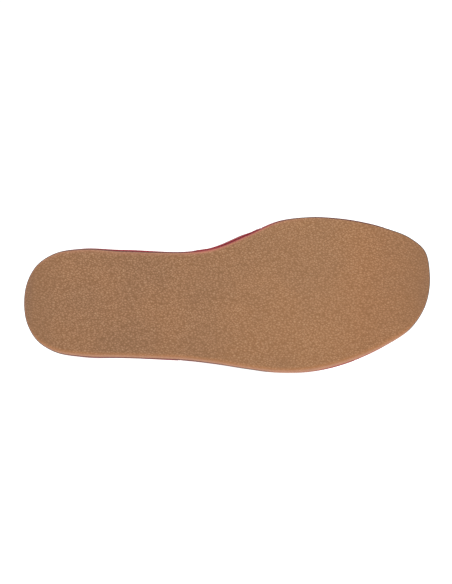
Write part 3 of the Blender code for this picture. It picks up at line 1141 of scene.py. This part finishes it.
# %% [markdown]
# A band
#
# A band is two leathers sewn together: a red face and a natural lining. Each is a closed
# section swept over the last. The section is written as rows of (inset from the cut edge,
# lift off the last, edge share): up the cut edge, round its corner, over the seam channel and
# on to the middle. The front half is the same list turned round, so both edges match. A curve
# with a bevel object would sweep a section too, but not one that widens, folds and thins.

# %% Section of the face
FACE_BASE = 0.95
FACE_BREAK, BREAK_MIDDLE = 0.3, 0.08
CORNER, CORNER_STEPS = 0.5, 5
PAINT_FADE = 0.4
SKIVE, SKIVE_REACH = 0.12, 2.5
STITCH_INSET, CHANNEL_DEPTH, CHANNEL_WIDTH = 2.6, 0.22, 0.45
FACE_INSETS = (0.9, 1.4, 1.8, 2.1, 2.35, 2.6, 2.85, 3.1, 3.4, 4.0, 5.0)
INNER_REACH = 5.0


def face_lift(inset):
    """Lift of the outer face: thinner at the edge, with a channel under the stitches."""
    thin = SKIVE * math.exp(-inset / SKIVE_REACH)
    return BAND_WALL - thin - seam_dip(inset, STITCH_INSET, CHANNEL_DEPTH, CHANNEL_WIDTH)


def face_rows():
    rows = [
        (INNER_REACH, FACE_BASE, 0.0),
        (FACE_BREAK, FACE_BASE, 1.0),
        (BREAK_MIDDLE, FACE_BASE + BREAK_MIDDLE, 1.0),
        (0.0, FACE_BASE + FACE_BREAK, 1.0),
    ]
    top = face_lift(CORNER)
    for angle in np.linspace(0.0, math.pi / 2, CORNER_STEPS):
        inset = CORNER * (1 - math.cos(angle))
        lift = top - CORNER * (1 - math.sin(angle))
        rows.append((inset, lift, 1.0 - PAINT_FADE * angle))
    return rows + [(inset, face_lift(inset), 0.0) for inset in FACE_INSETS]


print(len(face_rows()), "rows on each edge of the face")

# %% Section of the lining
LINING_TOP = 0.9
LINING_ROWS = (
    (INNER_REACH, 0.0, 0.0),
    (0.7, 0.0, 0.2),
    (0.45, 0.08, 0.6),
    (0.35, 0.3, 1.0),
    (0.35, LINING_TOP, 1.0),
    (INNER_REACH, LINING_TOP, 0.0),
)
print(len(LINING_ROWS), "rows on each edge of the lining")

# %% Places across a band
MIDDLE_ROWS = 16
FOOT_SPREAD, SPREAD_SHARES = 0.75, (0.05, 0.11)


def inset_share(inset, width, around):
    """Share of a band's width at an inset from its cut edge. The foot is spread a little, so
    that it fills its notch and is let into the footbed's side, as glued."""
    near_foot = 1 - smooth_step(np.minimum(around, 1 - around), *SPREAD_SHARES)
    return (inset - FOOT_SPREAD * near_foot) / width


def across_section(back):
    """Places across a band for a whole section, from the rows of its back half."""
    middle = np.linspace(0.0, 1.0, MIDDLE_ROWS + 2)[1:-1]
    upper = back[:, -1:] + (1 - 2 * back[:, -1:]) * middle
    lower = back[:, :1] + (1 - 2 * back[:, :1]) * middle
    return np.concatenate((back, upper, 1 - back[:, ::-1], lower[:, ::-1]), axis=1)


print("a whole section of the face has", 2 * (len(face_rows()) + MIDDLE_ROWS), "corners")

# %% Sweep a section over the last
# How far both ends of a band are let down onto the outsole
SEAT = 0.25


def closed_sweep(points, edge):
    """Skin a row of closed sections, with a face over each end."""
    steps, count = points.shape[:2]
    faces = [(here, above, above_beside, beside)
             for here, beside, above_beside, above in skin(steps, count)]
    faces.append(list(range(count)))
    faces.append(list(range(steps * count - 1, (steps - 1) * count - 1, -1)))
    return points.reshape(-1, 3), faces, np.tile(edge, steps)


def swept_band(name, rows):
    """Corners, faces and edge shares of a closed section swept along a band."""
    band = BANDS[name]
    around, length = band_stations(band)
    width = band_widths(band, around)
    inset, lift, shade = np.array(rows).T
    across = across_section(inset_share(inset[None], width[:, None], around[:, None]))
    flat = np.ones(MIDDLE_ROWS)
    lifts = np.concatenate((lift, flat * lift[-1], lift[::-1], flat * lift[0]))
    edge = np.concatenate((shade, flat * 0.0, shade[::-1], flat * 0.0))
    turns = np.repeat(around[:, None], across.shape[1], axis=1)
    sink = fold_depth(FOLDS[name], across, turns, width[:, None], length)
    points, _ = above_last(band, across, turns, lifts[None] - sink)
    points[[0, -1], :, 2] -= SEAT
    return closed_sweep(points, edge)


for name in BANDS:
    make_piece(f"{name}_band_face", swept_band(name, face_rows()), BAND_LEATHER,
               [f"strap_{name}"])
    make_piece(f"{name}_band_lining", swept_band(name, LINING_ROWS), LINING_LEATHER)

# %% [markdown]
# Stitches
#
# A machine seam is a row of short threads that dive into the leather at both ends. A texture
# would do from far away, but a seam also has a silhouette. Each stitch is a small bent tube,
# and all stitches of a seam are joined in one mesh, which keeps the scene light.

# %% Parts of a stitch
STITCH_PITCH = 3.4
STITCH_LENGTH = 2.6
STITCH_RINGS = 6
STITCH_SIDES = 8
THREAD, THIN_END, FLATTENED = 0.27, 0.35, 0.8
PROUD, DIVE = 0.16, 0.34


def along_line(at, walk, values):
    return np.column_stack([np.interp(at, walk, values[:, i]) for i in range(3)])


def tube_faces(first):
    faces = skin(STITCH_RINGS, STITCH_SIDES, first)
    last = first + (STITCH_RINGS - 1) * STITCH_SIDES
    faces.append([first + spot for spot in reversed(range(STITCH_SIDES))])
    faces.append([last + spot for spot in range(STITCH_SIDES)])
    return faces


print("a stitch has", STITCH_RINGS * STITCH_SIDES, "corners")

# %% Seams along lines on the leather
def seams(lines):
    """Corners, faces and edge shares of the stitches along lines, each with its normals."""
    run = np.linspace(-0.5, 0.5, STITCH_RINGS)
    thick = THREAD * (THIN_END + (1 - THIN_END) * np.sqrt(1 - (2 * run) ** 2))
    dive = PROUD - DIVE * (2 * run) ** 4
    turns = (np.arange(STITCH_SIDES) * 2 * math.pi / STITCH_SIDES)[:, None]
    corners, faces = [], []
    for line, normals in lines:
        walk = walked(line)
        count = int(walk[-1] / STITCH_PITCH)
        pitch = walk[-1] / count
        for number in range(count):
            at = (number + 0.5) * pitch + run * STITCH_LENGTH
            spots = along_line(at, walk, line)
            out = unit(along_line(at, walk, normals))
            aside = unit(np.cross(out, np.gradient(spots, axis=0)))
            centres = spots + out * dive[:, None]
            ring = aside[:, None] * np.cos(turns) + out[:, None] * np.sin(turns) * FLATTENED
            faces += tube_faces(len(corners) * STITCH_RINGS * STITCH_SIDES)
            corners.append((centres[:, None] + ring * thick[:, None, None]).reshape(-1, 3))
    corners = np.concatenate(corners)
    return corners, faces, np.zeros(len(corners))


print("helper: seams")

# %% Waxed thread
TWIST_STRENGTH = 0.5


def waxed_thread(name, light, dark):
    material, tree, shader, spot = new_material(name, Specular_IOR_Level=0.4)
    strands = use_group(tree, GRAIN, Place=spot, Pebble_size=0.00030, Unevenness=0.8)
    shade = use_group(tree, PATCHES, Place=spot, Patch_size=0.004)["Shade"]
    tone = mix_colour(tree, shade, dark, light)
    twisted = mix_colour(tree, times(tree, strands["Valley"], TWIST_STRENGTH), tone, dark)
    set_surface(tree, shader, twisted, shade, roughness=(0.45, 0.6), height=strands["Height"],
                relief=0.00004, strength=0.6)
    return material


RED_THREAD = waxed_thread("red_thread", light=(0.56, 0.055, 0.065, 1), dark=(0.34, 0.020, 0.028, 1))
TAN_THREAD = waxed_thread("tan_thread", light=(0.58, 0.40, 0.24, 1), dark=(0.40, 0.25, 0.14, 1))
print("threads:", RED_THREAD.name, TAN_THREAD.name)

# %% Seams of the bands
def band_seams(name):
    """A seam along each cut edge, from just above the outsole on one side to the other."""
    band = BANDS[name]
    around, length = band_stations(band)
    width = band_widths(band, around)
    inset = inset_share(STITCH_INSET, width, around)
    lines = []
    for across in (inset, 1 - inset):
        sink = fold_depth(FOLDS[name], across, around, width, length)
        line, normals = above_last(band, across, around, face_lift(STITCH_INSET) - sink)
        shown = line[:, 2] > OUTSOLE_TOP + STITCH_PITCH
        lines.append((line[shown], normals[shown]))
    return seams(lines)


for name in BANDS:
    make_piece(f"{name}_band_stitches", band_seams(name), RED_THREAD)

# %% Seam of the sock
seam_line = edge_line(SOCK_EDGE, SEAM_INSET, SOCK_TOP - SEAM_DEPTH)
seam_line = np.concatenate((seam_line, seam_line[:1]))
seam_normals = np.tile((0.0, 0.0, 1.0), (len(seam_line), 1))
make_piece("insole_sock_stitches", seams([(seam_line, seam_normals)]), TAN_THREAD)

# %% [markdown]
# Floor and light
#
# A shop picture of a sole is made on a light table in a white tent, so that no shadow is left.
# Lamps alone could not do that: the sandal would shade the floor, and the red bands would tint
# it. So the floor is one large sheet of paper that glows a little. A white world is the tent, a
# very broad sun its ceiling, a low wide lamp in front lets the pebbles and the rim show, and a
# small lamp behind puts a sheen on the bands.

# %% Floor
FLOOR_REACH = 7.0
PAPER = (0.45, 0.45, 0.45, 1.0)
GLOW = (0.95, 1.0, 1.0, 1.0)
FLOOR_CORNERS = ((-1, -1), (1, -1), (1, 1), (-1, 1))

floor_mesh = bpy.data.meshes.new("floor")
floor_mesh.from_pydata([(x * FLOOR_REACH, y * FLOOR_REACH, 0.0) for x, y in FLOOR_CORNERS], [],
                       [(0, 1, 2, 3)])
floor = bpy.data.objects.new("floor", floor_mesh)
bpy.context.scene.collection.objects.link(floor)
paper, *_ = new_material("white_paper", Base_Color=PAPER, Roughness=0.9, Specular_IOR_Level=0.1,
                         Emission_Color=GLOW, Emission_Strength=1.0)
floor_mesh.materials.append(paper)
floor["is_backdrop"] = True
print("floor", 2 * FLOOR_REACH, "m wide")

# %% Kinds of light
def white_tent(seen, given):
    """A white world that looks brighter to the camera than the light it gives."""
    world = bpy.data.worlds.new("white_tent")
    world.use_nodes = True
    tree = world.node_tree
    background = tree.nodes["Background"]
    is_seen = place(tree, "ShaderNodeLightPath").outputs["Is Camera Ray"]
    fill(tree, background.inputs["Strength"], ramp(tree, is_seen, 0.0, 1.0, given, seen))
    fill(tree, background.inputs["Color"], (1.0, 1.0, 1.0, 1.0))
    bpy.context.scene.world = world


def broad_sky(name, strength, breadth):
    """Even light from above, as from a ceiling of white cloth."""
    lamp = bpy.data.lights.new(name, "SUN")
    lamp.energy = strength
    lamp.angle = math.radians(breadth)
    bpy.context.scene.collection.objects.link(bpy.data.objects.new(name, lamp))


def soft_lamp(name, spot, aim, width, height, power):
    """A lamp behind a sheet of white cloth, which the camera doesn't see."""
    lamp = bpy.data.lights.new(name, "AREA")
    lamp.shape = "RECTANGLE"
    lamp.size = width
    lamp.size_y = height
    lamp.energy = power
    holder = bpy.data.objects.new(name, lamp)
    holder.location = spot
    holder.rotation_euler = (Vector(aim) - Vector(spot)).to_track_quat("-Z", "Y").to_euler()
    holder.visible_camera = False
    bpy.context.scene.collection.objects.link(holder)


print("helpers: white_tent, broad_sky and soft_lamp")

# %% Light
white_tent(seen=1.05, given=0.40)
broad_sky("white_ceiling", strength=1.5, breadth=100.0)
soft_lamp("lamp_front", spot=(0.2, -2.4, 0.35), aim=(0.0, 0.0, 0.04),
          width=1.8, height=0.5, power=22.8)
soft_lamp("lamp_back", spot=(-1.1, 1.7, 1.3), aim=(0.0, 0.0, 0.05),
          width=0.5, height=1.0, power=13.0)
bpy.context.scene.view_settings.view_transform = "Standard"

# %% [markdown]
# Camera
#
# The picture looks straight at the sole, from far enough away that nothing converges. A camera
# without perspective could do that, but a photographer steps back with a long lens. So does
# this camera: it stands on the line through the picture's centre, square to the sole, and turns
# with it. Its lens follows from the distance and from the real height that the picture covers.

# %% Camera
PICTURE_HEIGHT = 584
MM_PER_PIXEL = 0.62
SIGHT = Vector((125.3, -6.8, 0.0)) * MM
DISTANCE = 2.5
SENSOR = 36.0
FARTHEST = 100.0

camera = bpy.data.objects.new("camera", bpy.data.cameras.new("camera"))
camera.data.sensor_width = SENSOR
camera.data.lens = SENSOR * DISTANCE / (PICTURE_HEIGHT * MM_PER_PIXEL * MM)
camera.data.clip_end = FARTHEST
stand = Matrix.Translation(LAY_DOWN @ SIGHT - UP * DISTANCE)
camera.matrix_world = stand @ Matrix((FORWARD, -ASIDE, -UP)).transposed().to_4x4()
bpy.context.scene.collection.objects.link(camera)
bpy.context.scene.camera = camera
print(f"lens {camera.data.lens:.0f} mm, camera {camera.location.z / MM:.0f} mm above the floor")

# %% [markdown]
# Sizes
#
# The dressed sandal is meant to stay inside the box of its solids, but for a little. Both boxes
# are measured, and the last line prints by how much they differ.

# %% Measure the boxes
shown_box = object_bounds()
sizes = {"cad": [list(corner) for corner in cad_box], "visual": [list(corner) for corner in shown_box]}
grown = (np.array(sizes["visual"]) - np.array(sizes["cad"])) / MM
print("box moved by", grown.round(2).tolist(), "mm")
